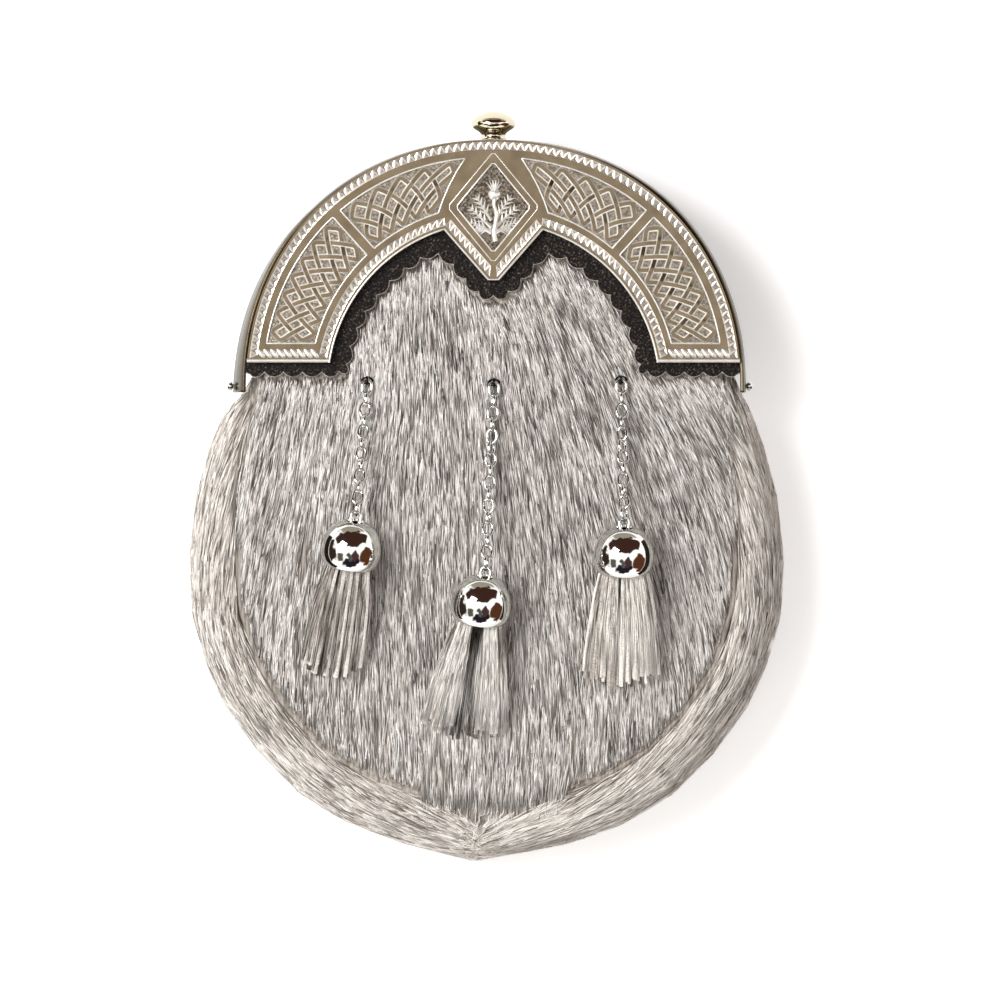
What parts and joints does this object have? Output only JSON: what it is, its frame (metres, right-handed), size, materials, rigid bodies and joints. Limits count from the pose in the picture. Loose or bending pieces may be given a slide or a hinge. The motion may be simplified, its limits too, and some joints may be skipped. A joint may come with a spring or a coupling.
{
  "type": "sporran pouch",
  "caption": "Dress sporran: hollow hair-on hide pouch with a cast arched cantle, scalloped leather apron, top finial and chained tassels.",
  "frame": {"origin": "middle of the overall box, on the surface that the pouch lies on", "axes": "+Z out of the front face, +Y towards the top finial, +X to the right as seen from the front"},
  "size_m": [0.1988, 0.2512, 0.0629],
  "materials": {
    "hide": "grey and cream hair on hide",
    "fringe": "cut hair-on hide strips",
    "leather": "grained black",
    "casting": "antiqued nickel plate, sunk panels",
    "chrome": "mirror polish"
  },
  "bodies": {
    "root": {"front_panel": "hide", "gusset_left": "hide", "gusset_right": "hide", "top_gusset": "leather", "back_panel": "leather", "back_flap": "leather", "scalloped_apron": "leather", "flap_stud": "chrome", "frame_band": "chrome", "frame_stud_left": "chrome", "frame_stud_right": "chrome", "top_knob": "chrome", "cantle": "casting", "chain_left": "chrome", "chain_centre": "chrome", "chain_right": "chrome", "chain_staple_left": "chrome", "chain_staple_centre": "chrome", "chain_staple_right": "chrome", "cap_left": "chrome", "cap_centre": "chrome", "cap_right": "chrome", "tassel_left": "fringe", "tassel_centre": "fringe", "tassel_right": "fringe"}
  },
  "joints": []
}
